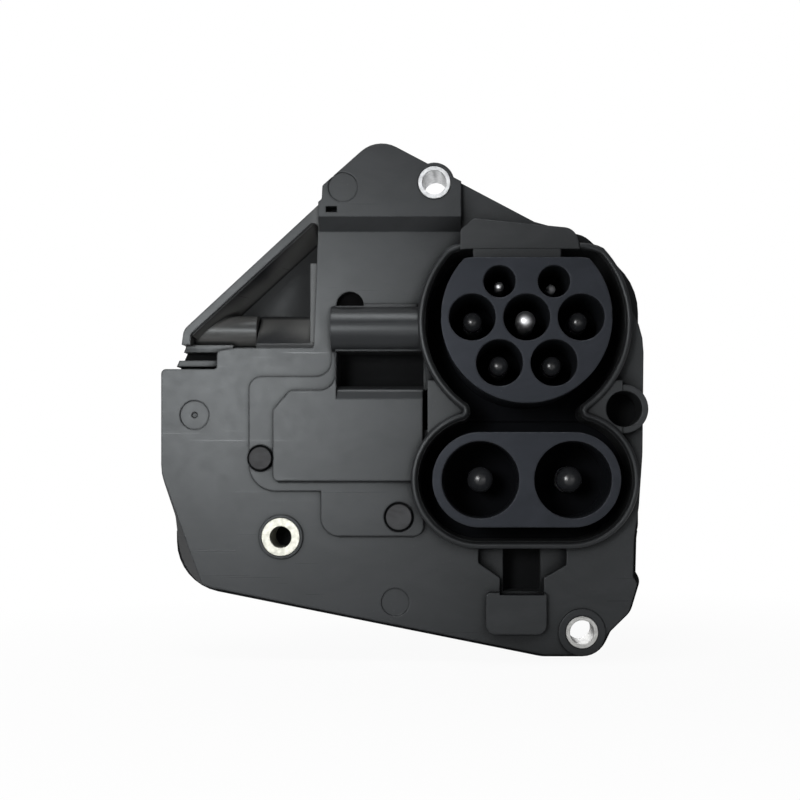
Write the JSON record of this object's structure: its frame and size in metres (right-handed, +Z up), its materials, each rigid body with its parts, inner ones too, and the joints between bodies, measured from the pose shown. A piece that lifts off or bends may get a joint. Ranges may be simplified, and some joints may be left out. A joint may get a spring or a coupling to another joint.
{
  "type": "charge port inlet",
  "caption": "Vehicle charging inlet: round AC socket over a wide DC socket in a black moulded flange with metal fixing bushes, rear cover, cable glands and sliding lock pin.",
  "frame": {"origin": "axis of the earth contact at the mating face of the AC insulator", "axes": "+X to the right as seen from the mating side, +Y into the vehicle, +Z up"},
  "size_m": [0.149, 0.08, 0.1583],
  "materials": {
    "housing": "fine grained black moulding",
    "insulator": "fine grained black moulding",
    "seal": "matt black",
    "contact": "bright plated",
    "tip_cap": "matt black",
    "retainer": "dark grey",
    "screw": "zinc plated",
    "board": "green lacquer",
    "bush": "bright plated",
    "buffer": "matt black",
    "actuator": "dark grey",
    "lock_pin": "ground",
    "cover": "fine grained black moulding",
    "gland": "matt black",
    "header": "dark grey",
    "header_pin": "gold plated"
  },
  "bodies": {
    "inlet": {"front_housing": "housing", "ac_insulator": "insulator", "dc_insulator": "insulator", "inlet_gasket": "seal", "earth_contact": "contact", "neutral_contact": "contact", "line_1_contact": "contact", "line_2_contact": "contact", "line_3_contact": "contact", "proximity_contact": "contact", "pilot_contact": "contact", "dc_plus_contact": "contact", "dc_minus_contact": "contact", "ac_tip_caps": "tip_cap", "dc_tip_caps": "tip_cap", "retainer_plate": "retainer", "retainer_fixings": "screw", "temperature_board": "board", "upper_bush": "bush", "lower_bush": "bush", "left_bush": "bush", "left_buffer": "buffer", "right_buffer": "buffer", "lock_actuator": "actuator", "actuator_fixings": "screw", "lock_seal": "seal", "cover_gasket": "seal", "rear_cover": "cover", "cover_fixings": "screw", "ac_gland": "gland", "dc_plus_gland": "gland", "dc_minus_gland": "gland", "signal_header": "header", "header_pins": "header_pin"},
    "lock": {"lock_pin": "lock_pin"}
  },
  "joints": [
    {"name": "lock_slide", "type": "slide", "parent": "inlet", "child": "lock", "axis": [1, 0, 0], "range_m": [0, 0.0042]}
  ]
}
